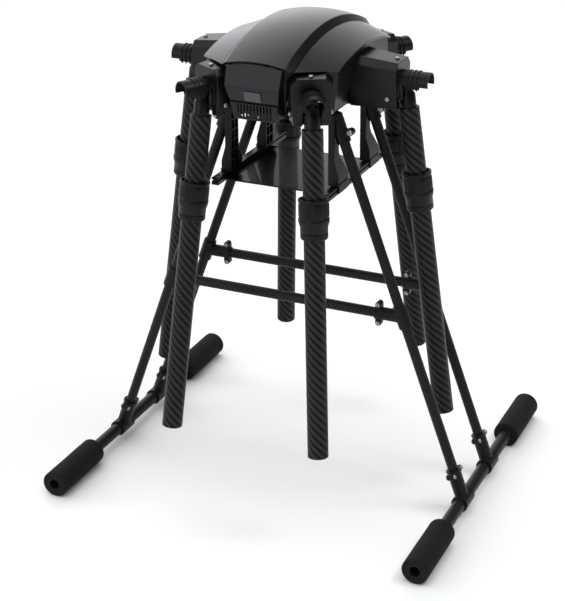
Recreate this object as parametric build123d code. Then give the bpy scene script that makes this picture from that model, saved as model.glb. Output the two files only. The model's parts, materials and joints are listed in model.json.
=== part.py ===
"""Six-arm folding airframe of a spraying drone, standing on its landing gear with every arm folded down.

Millimetres. +Z is up, the front faces -Y, and the origin is under the middle of the foam feet.
Each arm is drawn once, pointing along -Y, and turned about Z to its own azimuth.
"""
from build123d import *
import os
from math import atan2, cos, degrees, hypot, radians, sin

os.makedirs("parts", exist_ok=True)

# ---- driving dimensions ----
GAP = 0.06                       # fit between pieces that are fixed together

ARMS = {"front_right": 30, "right": 90, "rear_right": 150,
        "rear_left": 210, "left": 270, "front_left": 330}      # azimuth in degrees
PIVOT_R, PIVOT_Z = 164.0, 637.0  # fold hinge: distance from the centre line, height
SPLAY = 8.06                     # angle of a folded arm from the vertical, degrees
ARM_OD, ARM_ID, ARM_LENGTH = 30.0, 27.0, 474.0
ARM_TOP = 38.7                   # hinge axis to the tube's upper end
GLUE_DEPTH, GLUE_ID = 32.0, 27.6
PLUG_R, SLEEVE_R = 9.3, 11.3      # neck of the hinge plug: by the eye, by the tube
EYE_R, EYE_HALF = 8.8, 7.4
PIN_R, PIN_PLAY, PIN_HALF = 3.0, 0.08, 14.8

COLLAR_TOP, COLLAR_LENGTH = 134.7, 48.0    # rim distance from the hinge, length
COLLAR_RIM_R, COLLAR_BORE_R, COLLAR_GUIDE_R = 21.85, 19.0, 15.3
STOP_R, STOP_LENGTH, STOP_GAP = 19.5, 9.0, 0.4

SEAT_TIP, SEAT_UNDERCUT = 37.5, 25.0       # ends of the seat's upper and lower half past the hinge axis
SEAT_HOOD_DROP = 4.5                       # the hood reaches this far below the hinge axis
SEAT_R, SEAT_BORE_R, SEAT_RIB_R = 15.0, 12.6, 16.5
SEAT_SLOT_HALF = 12.0
SEAT_BLOCK_IN, SEAT_BLOCK_HALF = 70.0, 22.0

PLATE_LOW, PLATE_HIGH, PLATE_T = 596.0, 653.0, 3.0

COVER_AXIS_Z = 353.0             # the cover's skin is turned about an X-parallel line at this height
COVER_SECTION = [(45.0, 358.0), (54.0, 349.0), (104.0, 331.0)]   # half section: X, radius
COVER_CROWN = 363.0
COVER_T = 2.5
COVER_PLAN = [(43, -149), (104, -98), (104, 98), (43, 149),
              (-43, 149), (-104, 98), (-104, -98), (-43, -149)]

SKID_X, SKID_Z, SKID_OD, SKID_ID, SKID_HALF = 290.5, 20.0, 19.0, 16.0, 268.0
FOAM_R, FOAM_START = 20.0, 153.0
LEG_OD, LEG_ID, LEG_Y = 15.0, 12.0, 59.0
LEG_TOP_X, LEG_TOP_Z = 93.5, 560.0         # a point on the leg's axis near the hub
LEG_END_Z = 588.0
CROSSBAR_Z = 300.0

RAIL_IN_X, RAIL_OUT_X, RAIL_LOW, RAIL_HIGH = 81.0, 92.0, 479.5, 490.5
RAIL_FRONT_Y, RAIL_REAR_Y = -107.0, 131.0
RAIL_HOLE_Y, RAIL_HOLE_R = 94.0, 2.2
TRAY_HALF_Y, TRAY_T = 81.0, 2.5


# ---- small shared shapes ----
def rod(radius, start, end):
    """Solid cylinder between two points."""
    a, b = Vector(*start), Vector(*end)
    return Solid.make_cylinder(radius, (b - a).length, Plane(origin=a, z_dir=b - a))


def pipe(outer, inner, start, end):
    """Hollow tube between two points."""
    return rod(outer, start, end) - rod(inner, start, end)


def block(low, high):
    """Box from its lowest to its highest corner."""
    size = [h - l for l, h in zip(low, high)]
    middle = [(l + h) / 2 for l, h in zip(low, high)]
    return Pos(*middle) * Box(*size)


def face_at(points, plane):
    """Flat polygon on a plane."""
    return plane * make_face(Polyline(*points, close=True))


def prism(points, plane, depth):
    """Polygon on a plane, extruded along the plane's normal."""
    return extrude(face_at(points, plane), depth)


def turned(points):
    """Solid of revolution about Z from a closed (radius, z) outline."""
    return revolve(face_at(points, Plane.XZ), Axis.Z, 360)


def both_sides(shape):
    """A shape and its mirror image across the YZ plane."""
    return [shape, mirror(shape, Plane.YZ)]


def four_corners(shape):
    """A shape in all four corners, mirrored across both vertical planes."""
    return both_sides(shape) + both_sides(mirror(shape, Plane.XZ))


def at_arm(shape, azimuth):
    """Turn a shape drawn on the -Y arm to an arm's azimuth."""
    return shape.rotate(Axis.Z, azimuth)


def hung(shape):
    """Take a shape drawn about the hinge, arm along -Z, to its folded place on the -Y arm."""
    return Pos(0, -PIVOT_R, PIVOT_Z) * Rot(-SPLAY, 0, 0) * shape


def save(name, shape):
    export_step(shape, f"parts/{name}.step")


def group(solids):
    return Compound(children=[s for shape in solids for s in shape.solids()])


# ---- folding arms ----
def arm_tube():
    """Carbon tube, with a sanded recess at its upper end for the glued plug."""
    bottom = -(ARM_TOP + ARM_LENGTH)
    tube = pipe(ARM_OD / 2, ARM_ID / 2, (0, 0, bottom), (0, 0, -ARM_TOP))
    return tube - rod(GLUE_ID / 2, (0, 0, -ARM_TOP - GLUE_DEPTH), (0, 0, -ARM_TOP))


def hinge_plug():
    """Plug glued into the tube, with a round neck and an eye for the hinge pin."""
    insert_end = -ARM_TOP - GLUE_DEPTH + 1
    insert = pipe(GLUE_ID / 2 - GAP, PLUG_R - 2.3, (0, 0, insert_end), (0, 0, -ARM_TOP))
    neck = pipe(PLUG_R, PLUG_R - 2.3, (0, 0, -ARM_TOP - 4), (0, 0, -14))
    inner = PLUG_R - 1
    sleeve = turned([(inner, -ARM_TOP), (SLEEVE_R, -ARM_TOP), (SLEEVE_R, -20), (PLUG_R, -16), (inner, -16)])
    cap = rod(PLUG_R, (0, 0, -14), (0, 0, -4))
    eye = rod(EYE_R, (-EYE_HALF, 0, 0), (EYE_HALF, 0, 0))
    bore = rod(PIN_R + PIN_PLAY, (-EYE_HALF - 5, 0, 0), (EYE_HALF + 5, 0, 0))
    return insert + neck + sleeve + cap + eye - bore


def lock_collar():
    """Threaded collar: open mouth, grip band between two rims, and a guide bore that slides on the tube."""
    top, low = -COLLAR_TOP, -COLLAR_TOP - COLLAR_LENGTH
    band = COLLAR_RIM_R - 1.25
    outline = [(COLLAR_BORE_R, top), (COLLAR_RIM_R, top), (COLLAR_RIM_R, top - 4), (band, top - 5),
               (band, top - 26), (COLLAR_RIM_R, top - 27), (COLLAR_RIM_R, top - 32),
               (COLLAR_RIM_R - 1.5, top - 38), (STOP_R, low), (COLLAR_GUIDE_R, low),
               (COLLAR_GUIDE_R, low + 9), (COLLAR_BORE_R, low + 13)]
    return turned(outline)


def stop_ring():
    """Ring glued on the tube, on which the open collar rests."""
    top = -COLLAR_TOP - COLLAR_LENGTH - STOP_GAP
    low = top - STOP_LENGTH
    inner = ARM_OD / 2 + GAP
    return turned([(inner, top), (STOP_R, top), (STOP_R, low + 2.5), (STOP_R - 2, low), (inner, low)])


def save_arms():
    pieces = {"arm_tube": arm_tube(), "hinge_plug": hinge_plug(),
              "lock_collar": lock_collar(), "stop_ring": stop_ring()}
    for place, azimuth in ARMS.items():
        for name, shape in pieces.items():
            save(f"{place}_{name}", at_arm(hung(shape), azimuth))


# ---- hinge seats and their fairings ----
SOCKET_IN_R, SOCKET_OUT_R, SOCKET_WALL = 92.0, 160.0, 2.5
SOCKET_SHORT_R = 114.0           # inner end of the four fairings at the front and rear
ARCH_R, ARCH_DROP = 21.0, 9.0    # boss round the hinge seat, and how far its centre is below the hinge
SEAT_BLOCK_OUT = 150.0
SIDE_SCREW_R, SIDE_SCREW_Z, TOP_SCREW_R = 147.0, 615.0, 151.0
SCREW_SHANK_R, SCREW_HEAD_R = 1.9, 3.4


def radial_plane(distance):
    """Vertical plane across the -Y arm, with its X to the right and its Y up."""
    return Plane(origin=(0, -distance, 0), x_dir=(1, 0, 0), z_dir=(0, -1, 0))


def octagon(shoulder, widest, foot, top, bevel, waist, bottom, inset=0.0):
    """Fairing section: flat top, bevelled shoulders, and sides that draw in below the waist."""
    half = [(shoulder - inset / 2, top - inset), (widest - inset, bevel - inset / 2),
            (widest - inset, waist), (foot - inset, bottom)]
    return half + [(-x, z) for x, z in reversed(half)]


def socket_body(inset=0.0, bottom=PLATE_LOW + PLATE_T + 1, end=SOCKET_OUT_R):
    inner = octagon(25, 35, 30, 674, 663, 634, bottom, inset)
    outer = octagon(20, 28.5, 25, 666, 657, 632, bottom, inset)
    share = (end - SOCKET_IN_R) / (SOCKET_OUT_R - SOCKET_IN_R)
    cut = [(a + (b - a) * share, c + (d - c) * share) for (a, c), (b, d) in zip(inner, outer)]
    sections = [face_at(inner, radial_plane(SOCKET_IN_R)), face_at(cut, radial_plane(end))]
    return loft(sections, ruled=True)


def cover_band(drop, low_radius):
    """Everything between an inner radius and the cover's skin lowered by drop, about the cover's axis."""
    half = [(x, r - drop) for x, r in COVER_SECTION]
    skin = [(-x, r) for x, r in reversed(half)] + half
    wide = COVER_SECTION[-1][0] + 3
    edge = COVER_SECTION[-1][1] - drop - 1
    lift = COVER_AXIS_Z
    left, right = skin[:3], skin[3:]
    crown = ThreePointArc((left[-1][0], left[-1][1] + lift), (0, COVER_CROWN - drop + lift),
                          (right[0][0], right[0][1] + lift))
    rim = Polyline(*[(x, r + lift) for x, r in right], (wide, edge + lift), (wide, low_radius + lift),
                   (-wide, low_radius + lift), (-wide, edge + lift), *[(x, r + lift) for x, r in left])
    axis = Axis((0, 0, COVER_AXIS_Z), (1, 0, 0))
    start = (Plane.XZ * make_face([crown, rim])).rotate(axis, -29)
    return revolve(start, axis, 58)


def plan_prism(grow=0.0):
    """The cover's outline in plan, as a tall prism."""
    outline = make_face(Polyline(*COVER_PLAN, close=True))
    if grow:
        outline = offset(outline, grow, kind=Kind.INTERSECTION)
    return Pos(0, 0, 590) * extrude(outline, 130)


UNDER_COVER = cover_band(COVER_T + 0.5, 120)
COVER_SPACE = plan_prism(0.5) - UNDER_COVER


def arm_socket():
    """Moulded fairing round one hinge seat, open at its inner end, with an arch-shaped boss."""
    shell = socket_body() - socket_body(SOCKET_WALL, PLATE_LOW + PLATE_T, SOCKET_OUT_R - 3)
    arch_z = PIVOT_Z - ARCH_DROP
    body = shell + rod(ARCH_R, (0, -SOCKET_OUT_R + 1, arch_z), (0, -SOCKET_OUT_R - 6, arch_z))
    body -= rod(SEAT_R + 0.15, (0, -120, PIVOT_Z), (0, -200, PIVOT_Z))
    slot = SEAT_SLOT_HALF + 0.3
    body -= block((-slot, -200, PLATE_LOW), (slot, -SEAT_BLOCK_OUT - 0.3, PIVOT_Z))
    for hole in screw_holes():
        body -= hole
    return body




def screw_holes():
    play = SCREW_SHANK_R + GAP
    sideways = rod(play, (-40, -SIDE_SCREW_R, SIDE_SCREW_Z), (40, -SIDE_SCREW_R, SIDE_SCREW_Z))
    upright = rod(play, (0, -TOP_SCREW_R, 655), (0, -TOP_SCREW_R, 680))
    return [sideways, upright]


def socket_screws():
    """Two side screws and one top screw that hold a fairing to its hinge seat."""
    side = rod(SCREW_SHANK_R, (22.3, -SIDE_SCREW_R, SIDE_SCREW_Z), (29, -SIDE_SCREW_R, SIDE_SCREW_Z))
    side += rod(SCREW_HEAD_R, (28.7, -SIDE_SCREW_R, SIDE_SCREW_Z), (31, -SIDE_SCREW_R, SIDE_SCREW_Z))
    top = rod(SCREW_SHANK_R, (0, -TOP_SCREW_R, 656.2), (0, -TOP_SCREW_R, 668))
    top += rod(SCREW_HEAD_R, (0, -TOP_SCREW_R, 667.8), (0, -TOP_SCREW_R, 670))
    return both_sides(side) + [top]


def fold_seat():
    """Hinge seat: block between the hub plates and a half-open threaded stub that the arm folds out of."""
    low, tip = PLATE_LOW + PLATE_T, -PIVOT_R - SEAT_TIP - 1
    slot, hood_edge = SEAT_SLOT_HALF, PIVOT_Z - SEAT_HOOD_DROP
    seat = block((-SEAT_BLOCK_HALF, -SEAT_BLOCK_OUT, low), (SEAT_BLOCK_HALF, -SEAT_BLOCK_IN, PLATE_HIGH))
    along = lambda distance: (0, -PIVOT_R - distance, PIVOT_Z)
    seat += rod(SEAT_R, along(SEAT_BLOCK_OUT - PIVOT_R - 1), along(SEAT_TIP))
    for rib in (7.5, 14.0, 20.5):
        seat += rod(SEAT_RIB_R, along(rib - 1.2), along(rib + 1.2))
    seat -= rod(SEAT_BORE_R, along(-13), along(SEAT_TIP + 1))
    seat -= block((-slot, tip, low - 1), (slot, -PIVOT_R + 12, PIVOT_Z - 2))
    seat -= block((-20, tip, low - 1), (20, -PIVOT_R - SEAT_UNDERCUT, hood_edge))
    seat -= rod(PIN_R + GAP, (-20, -PIVOT_R, PIVOT_Z), (20, -PIVOT_R, PIVOT_Z))
    side_pocket = block((7, -134, low + 7), (30, -78, PLATE_HIGH - 7))
    return seat - side_pocket - mirror(side_pocket, Plane.YZ)


def hinge_pin():
    return rod(PIN_R, (-PIN_HALF, -PIVOT_R, PIVOT_Z), (PIN_HALF, -PIVOT_R, PIVOT_Z))


def save_sockets():
    """Fairings are cut to the covers; the four at the ends are also shorter, to clear the hub plates."""
    socket, seat, pin, screws = arm_socket(), fold_seat(), hinge_pin(), socket_screws()
    short_socket = socket - block((-50, -SOCKET_SHORT_R, 580), (50, 0, 700))
    for place, azimuth in ARMS.items():
        whole = socket if azimuth % 180 == 90 else short_socket
        save(f"{place}_arm_socket", at_arm(whole, azimuth) - COVER_SPACE)
    save("hinge_seats", group([at_arm(seat, a) for a in ARMS.values()]))
    save("hinge_pins", group([at_arm(pin, a) for a in ARMS.values()]))
    save("socket_screws", group([at_arm(s, a) for a in ARMS.values() for s in screws]))


# ---- hub: covers, shell, panels and plates ----
PANEL_LINE = [(-149, 682), (-160, 650), (-153, 625), (-150, 601)]         # outer face: Y, Z
PANEL_HALF = [(42, 682), (41, 650), (36, 625), (31, 601)]               # half width at each height
PANEL_T = 2.5
SLAT_PITCH, SLAT_COUNT, SLAT_W = 4.9, 11, 2.5
BADGE_W, BADGE_H, BADGE_T, BADGE_Z = 25.0, 15.0, 1.4, 637.0
PLATE_PLAN = [(30, -112), (78, -76), (78, 76), (30, 112), (-30, 112), (-78, 76), (-78, -76), (-30, -112)]
SPACERS = [(44, -24), (44, 24), (-44, -24), (-44, 24)]
def cover_skin():
    return (cover_band(0, 300) - cover_band(COVER_T, 290)) & plan_prism()


def save_covers():
    """Raised centre strip with bevelled flanks, and a lower side cover on each side."""
    skin = cover_skin()
    seam, wide = 54.3, 120
    strip = skin & block((-seam + 0.3, -160, 590), (seam - 0.3, 160, 730))
    side = skin & block((seam, -160, 590), (wide, 160, 730))
    save("top_cover", strip)
    save("right_cover", side)
    save("left_cover", mirror(side, Plane.YZ))


def hub_tub(inset):
    """Side wall of the hub: upright above, drawn in towards the bottom."""
    k = inset
    upper = [(40 - k * 0.4, -143 + k), (100 - k, -95.5 + k * 0.5)]
    lower = [(32 - k * 0.4, -116 + k), (86 - k, -76 + k * 0.5)]
    ring = lambda quarter: quarter + [(x, -y) for x, y in reversed(quarter)]
    full = lambda quarter: ring(quarter) + [(-x, -y) for x, y in ring(quarter)]
    crease, bottom, top = 648.0, PLATE_LOW + PLATE_T + 1, 715.0
    low_face = face_at(full(lower), Plane.XY.offset(bottom - (1 if k else 0)))
    mid_face = face_at(full(upper), Plane.XY.offset(crease))
    return loft([low_face, mid_face], ruled=True) + extrude(mid_face, top - crease)


def hub_shell():
    shell = (hub_tub(0) - hub_tub(2.5)) & UNDER_COVER
    seat_space = block((-SEAT_BLOCK_HALF - 0.3, -160, 590), (SEAT_BLOCK_HALF + 0.3, -60, PLATE_HIGH + 0.3))
    for azimuth in ARMS.values():
        shell -= at_arm(socket_body(-0.5, PLATE_LOW - 5, SOCKET_OUT_R) + seat_space, azimuth)
    window = block((-28, -160, 603), (28, -100, 640))
    return shell - window - mirror(window, Plane.XZ)




def panel_space(inset):
    """What the end panel's outside takes up, back to inside the hub, or its inside at a wall's depth."""
    side_view = [(y + inset, z) for y, z in PANEL_LINE] + [(-100, PANEL_LINE[-1][1]), (-100, PANEL_LINE[0][1])]
    front_view = [(x - inset, z) for x, z in PANEL_HALF]
    front_view += [(-x, z) for x, z in reversed(front_view)]
    return extrude(face_at(side_view, Plane.YZ), 60, both=True) & extrude(face_at(front_view, Plane.XZ), 200)


def front_panel():
    """Faceted end panel with side walls, and a row of upright vent slots in its lowest facet."""
    sheet = (panel_space(0) - panel_space(PANEL_T) - hub_tub(-0.3)) & UNDER_COVER
    for azimuth in (30, -30):
        sheet -= at_arm(socket_body(-0.4, PLATE_LOW - 5, SOCKET_OUT_R), azimuth)
    for i in range(SLAT_COUNT):
        x = (i - (SLAT_COUNT - 1) / 2) * SLAT_PITCH
        sheet -= block((x - SLAT_W / 2, -170, 605), (x + SLAT_W / 2, -100, 623.5))
    return sheet




def badge_plate():
    """Plain rounded name plate, left blank, on the middle facet."""
    (y0, z0), (y1, z1) = PANEL_LINE[1], PANEL_LINE[2]
    length = hypot(y1 - y0, z1 - z0)
    normal = Vector(0, (z1 - z0) / length, -(y1 - y0) / length)
    y = y0 + (y1 - y0) * (z0 - BADGE_Z) / (z0 - z1)
    origin = Vector(0, y, BADGE_Z) + normal * 0.05
    facet = Plane(origin=origin, x_dir=(1, 0, 0), z_dir=normal)
    return extrude(facet * RectangleRounded(BADGE_W, BADGE_H, 2.5), BADGE_T)




def hub_plate(low, grow):
    """Carbon plate with lightening holes, one above and one below the hinge seats."""
    outline = offset(make_face(Polyline(*PLATE_PLAN, close=True)), grow, kind=Kind.INTERSECTION)
    plate = Pos(0, 0, low) * extrude(outline, PLATE_T)
    for x, y in ((0, 0), (0, 62), (0, -62)):
        plate -= rod(18, (x, y, low - 1), (x, y, low + PLATE_T + 1))
    return plate


def hub_spacers():
    return [rod(4, (x, y, PLATE_LOW + PLATE_T), (x, y, PLATE_HIGH)) for x, y in SPACERS]


def save_hub():
    save_covers()
    save("hub_shell", hub_shell())
    panel = front_panel()
    save("front_panel", panel)
    save("rear_panel", mirror(panel, Plane.XZ))
    save("badge_plate", badge_plate())
    save("lower_plate", hub_plate(PLATE_LOW, 2))
    save("upper_plate", hub_plate(PLATE_HIGH, 0))
    save("hub_spacers", group(hub_spacers()))


# ---- payload rack ----
POST_Y, POST_DEPTH = 60.0, 26.0            # middle of a post's depth, front to back
POST_IN_X, POST_WALL, POST_EDGE_Z = 76.5, 2.5, 550.0
POST_OUTER = [(92.6, RAIL_HIGH), (92.6, 505), (86, 528), (86, PLATE_LOW)]        # outer edge: X, Z
FLARE = [(35, RAIL_HIGH), (38, 500), (30, 516), (14, 544), (6, POST_EDGE_Z)]     # foot: Y past the front face, Z
CELL_PITCH, CELL_RIB = 15.2, 1.6


def rack_post(front_y):
    """Right corner post: a moulding with a flared foot, and pockets between ribs on its inner side.

    Above POST_EDGE_Z only the front wall and the ribbed wall go on, to leave room for the leg clamp.
    """
    top, foot, wall = PLATE_LOW, RAIL_HIGH, POST_WALL
    rear_y, middle_y = front_y + POST_DEPTH, front_y + POST_DEPTH / 2
    front_view = [(POST_IN_X, foot)] + POST_OUTER + [(POST_IN_X, top)]
    side_view = [(front_y, foot)] + [(front_y + y, z) for y, z in FLARE] + [(front_y, POST_EDGE_Z)]
    outline = Pos(0, 200, 0) * extrude(face_at(front_view, Plane.XZ), 400)
    lower = outline & extrude(face_at(side_view, Plane.YZ), 120)
    lower += block((POST_IN_X, front_y, foot), (POST_IN_X + 6, rear_y, POST_EDGE_Z))
    upper = block((POST_IN_X, front_y, POST_EDGE_Z - 1), (POST_IN_X + 5, rear_y, top))
    upper += outline & block((POST_IN_X, front_y, POST_EDGE_Z - 1), (100, front_y + wall, top))
    post = lower + upper
    z = foot + 2
    while z < top - 3:
        high = min(z + CELL_PITCH - CELL_RIB, top - 2)
        deep = min(x for x in (outer_x(z), outer_x(high))) - wall if high < POST_EDGE_Z else POST_IN_X + 3
        for y in (front_y + wall, middle_y + CELL_RIB / 2):
            post -= block((POST_IN_X - 1, y, z), (deep, y + POST_DEPTH / 2 - wall - CELL_RIB / 2, high))
        z += CELL_PITCH
    skirt = block((RAIL_OUT_X + GAP, front_y, RAIL_LOW + 1), (POST_OUTER[0][0] + 1.4, front_y + FLARE[0][0], foot + 3))
    near_leg = rod(CLAMP_R + 0.6, on_leg(up_leg(CLAMP_LOW) - 3), on_leg(up_leg(PLATE_LOW) + 12))
    return post + skirt - near_leg - mirror(near_leg, Plane.XZ)


def outer_x(height):
    """X of a post's outer edge at a height."""
    for (x0, z0), (x1, z1) in zip(POST_OUTER, POST_OUTER[1:]):
        if height <= z1:
            return x0 + (x1 - x0) * (height - z0) / (z1 - z0)
    return POST_OUTER[-1][0]


def rack_tray():
    """Flat battery tray between the two rails."""
    return block((-RAIL_IN_X, -TRAY_HALF_Y, RAIL_LOW), (RAIL_IN_X, TRAY_HALF_Y, RAIL_LOW + TRAY_T))


def rail():
    """Right rail: a bar with a slot along each side, longer behind, and two bolt holes."""
    body = block((RAIL_IN_X, RAIL_FRONT_Y, RAIL_LOW), (RAIL_OUT_X, RAIL_REAR_Y, RAIL_HIGH))
    for x in (RAIL_IN_X, RAIL_OUT_X):
        body -= block((x - 2.5, RAIL_FRONT_Y - 1, RAIL_HIGH - 5.2), (x + 2.5, RAIL_REAR_Y + 1, RAIL_HIGH - 2.8))
    middle = (RAIL_IN_X + RAIL_OUT_X) / 2
    for y in (-RAIL_HOLE_Y, RAIL_HOLE_Y):
        body -= rod(RAIL_HOLE_R, (middle, y, RAIL_LOW - 1), (middle, y, RAIL_HIGH + 1))
    return body


def save_rack():
    fronts = [-POST_Y - POST_DEPTH / 2, POST_Y - POST_DEPTH / 2]
    save("rack_posts", group([post for y in fronts for post in both_sides(rack_post(y))]))
    save("rack_tray", rack_tray())
    right = rail()
    save("right_rail", right)
    save("left_rail", mirror(right, Plane.YZ))


# ---- landing gear ----
LEG_LEAN = degrees(atan2(SKID_X - LEG_TOP_X, LEG_TOP_Z - SKID_Z))
LEG_START = 16.0
SKID_TEE_R, SKID_TEE_HALF, NECK_R, NECK_END = 12.6, 18.0, 10.4, 50.0
EAR_SPREAD, EAR_R, EAR_THICK, EAR_BACK = 15.0, 4.6, 11.0, 6.0
TEE_R, TEE_HALF, BRANCH_R, BRANCH_END, BRANCH_START = 10.2, 17.0, 9.6, 42.0, 13.0
CLAMP_R, CLAMP_LOW, CLAMP_EAR_Z, CLAMP_EAR_OUT = 10.4, 554.0, 566.0, 15.0


def on_leg(distance):
    """Point on the front right leg's axis, a distance up from the skid's axis."""
    return (SKID_X - distance * sin(radians(LEG_LEAN)), -LEG_Y, SKID_Z + distance * cos(radians(LEG_LEAN)))


def up_leg(height):
    return (height - SKID_Z) / cos(radians(LEG_LEAN))




def leg_tube():
    return pipe(LEG_OD / 2, LEG_ID / 2, on_leg(LEG_START), on_leg(up_leg(LEG_END_Z)))


def leg_frame(distance):
    """Frame on the leg: Z up the leg, Y along the skid, X square to both and outwards."""
    return Plane(origin=on_leg(distance), x_dir=(cos(radians(LEG_LEAN)), 0, sin(radians(LEG_LEAN))),
                 z_dir=(-sin(radians(LEG_LEAN)), 0, cos(radians(LEG_LEAN)))).location


def ear_pair(spread, height, thick, radius):
    """Two clamp ears across a socket's mouth, along Y, drilled along X."""
    ears = []
    for side in (-1, 1):
        y = side * spread
        ear = rod(radius, (-thick / 2, y, height), (thick / 2, y, height))
        near, far = sorted((y, side * 6))
        ear += block((-thick / 2, near, height - radius), (thick / 2, far, height + radius))
        ears.append(ear - rod(2 + GAP, (-thick, y, height), (thick, y, height)))
    return ears




def skid_tee():
    """Moulded tee: a sleeve on the skid and a clamped socket up the leg."""
    neck = rod(NECK_R, (0, 0, 2), (0, 0, NECK_END))
    for ear in ear_pair(EAR_SPREAD, NECK_END - EAR_BACK, EAR_THICK, EAR_R):
        neck += ear
    neck += rod(NECK_R + 1, (0, 0, NECK_END - 3), (0, 0, NECK_END))
    local = neck + rod(SKID_TEE_R, (0, -SKID_TEE_HALF, 0), (0, SKID_TEE_HALF, 0))
    local -= rod(SKID_OD / 2 + GAP, (0, -40, 0), (0, 40, 0))
    local -= rod(LEG_OD / 2 + GAP, (0, 0, LEG_START), (0, 0, NECK_END + 5))
    return leg_frame(0) * local


def ear_bolts(spread, height):
    """Bolt with a round head through each ear."""
    bolts = []
    for side in (-1, 1):
        y, half = side * spread, EAR_THICK / 2
        shank = rod(2, (-half - 1, y, height), (half, y, height))
        outer_head = rod(3.4, (half, y, height), (half + 2.4, y, height))
        inner_head = rod(3.4, (-half - 2.4, y, height), (-half, y, height))
        bolts.append(shank + outer_head + inner_head)
    return bolts




def branch_frame():
    """Frame on the leg at the crossbar: Z inwards along the bar, Y up, X square to both."""
    return Plane(origin=on_leg(up_leg(CROSSBAR_Z)), x_dir=(0, -1, 0), z_dir=(-1, 0, 0)).location


def crossbar_tee():
    """Moulded tee: a sleeve on the leg and a clamped socket for the crossbar."""
    here = up_leg(CROSSBAR_Z)
    sleeve = rod(TEE_R, on_leg(here - TEE_HALF), on_leg(here + TEE_HALF))
    branch = rod(BRANCH_R, (0, 0, 1), (0, 0, BRANCH_END))
    for ear in ear_pair(EAR_SPREAD - 0.5, BRANCH_END - EAR_BACK, EAR_THICK, EAR_R):
        branch += ear
    tee = sleeve + branch_frame() * branch
    tee -= rod(LEG_OD / 2 + GAP, on_leg(here - 40), on_leg(here + 40))
    return tee - branch_frame() * rod(LEG_OD / 2 + GAP, (0, 0, BRANCH_START), (0, 0, BRANCH_END + 5))


def crossbar():
    end = on_leg(up_leg(CROSSBAR_Z))[0] - BRANCH_START - 0.5
    return pipe(LEG_OD / 2, LEG_ID / 2, (-end, -LEG_Y, CROSSBAR_Z), (end, -LEG_Y, CROSSBAR_Z))




def leg_clamp():
    """Long clamp that holds the leg's upper end under the hub, with one bolted ear facing outwards."""
    low, high = up_leg(CLAMP_LOW), up_leg(PLATE_LOW) + 8
    body = rod(CLAMP_R, on_leg(low), on_leg(high))
    out, height, half, radius = CLAMP_EAR_OUT, up_leg(CLAMP_EAR_Z) - low, EAR_THICK / 2, EAR_R + 0.6
    ear = rod(radius, (out, -half, height), (out, half, height))
    ear += block((6, -half, height - radius), (out, half, height + radius))
    ear -= rod(2 + GAP, (out, -20, height), (out, 20, height))
    body += leg_frame(low) * ear
    body -= rod(LEG_OD / 2 + GAP, on_leg(low - 5), on_leg(up_leg(LEG_END_Z)))
    return body & block((0, -200, 500), (200, 0, PLATE_LOW))


def clamp_bolt():
    low = up_leg(CLAMP_LOW)
    height, half = up_leg(CLAMP_EAR_Z) - low, EAR_THICK / 2
    bolt = rod(2, (CLAMP_EAR_OUT, -half, height), (CLAMP_EAR_OUT, half, height))
    bolt += rod(4.2, (CLAMP_EAR_OUT, -half - 3, height), (CLAMP_EAR_OUT, -half, height))
    bolt += rod(4.2, (CLAMP_EAR_OUT, half, height), (CLAMP_EAR_OUT, half + 3, height))
    return leg_frame(low) * bolt


def tee_bolts():
    skid = [leg_frame(0) * bolt for bolt in ear_bolts(EAR_SPREAD, NECK_END - EAR_BACK)]
    bar = [branch_frame() * bolt for bolt in ear_bolts(EAR_SPREAD - 0.5, BRANCH_END - EAR_BACK)]
    return skid + bar + [clamp_bolt()]


def save_landing_gear():
    legs = four_corners(leg_tube())
    for name, leg in zip(("front_right", "front_left", "rear_right", "rear_left"), legs):
        save(f"{name}_leg", leg)
    skid = pipe(SKID_OD / 2, SKID_ID / 2, (SKID_X, -SKID_HALF, SKID_Z), (SKID_X, SKID_HALF, SKID_Z))
    save("right_skid", skid)
    save("left_skid", mirror(skid, Plane.YZ))
    foam = pipe(FOAM_R, SKID_OD / 2 + GAP, (SKID_X, -SKID_HALF, SKID_Z), (SKID_X, -FOAM_START, SKID_Z))
    save("foam_sleeves", group(four_corners(foam)))
    save("skid_tees", group(four_corners(skid_tee())))
    save("crossbars", group([crossbar(), mirror(crossbar(), Plane.XZ)]))
    save("crossbar_tees", group(four_corners(crossbar_tee())))
    save("leg_clamps", group(four_corners(leg_clamp())))
    save("clamp_bolts", group([corner for bolt in tee_bolts() for corner in four_corners(bolt)]))


save_arms()
save_sockets()
save_hub()
save_rack()
save_landing_gear()
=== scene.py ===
"""Looks of a six-arm folding spraying-drone airframe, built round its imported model."""
import json
from math import atan2, cos, pi, radians, sin

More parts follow.
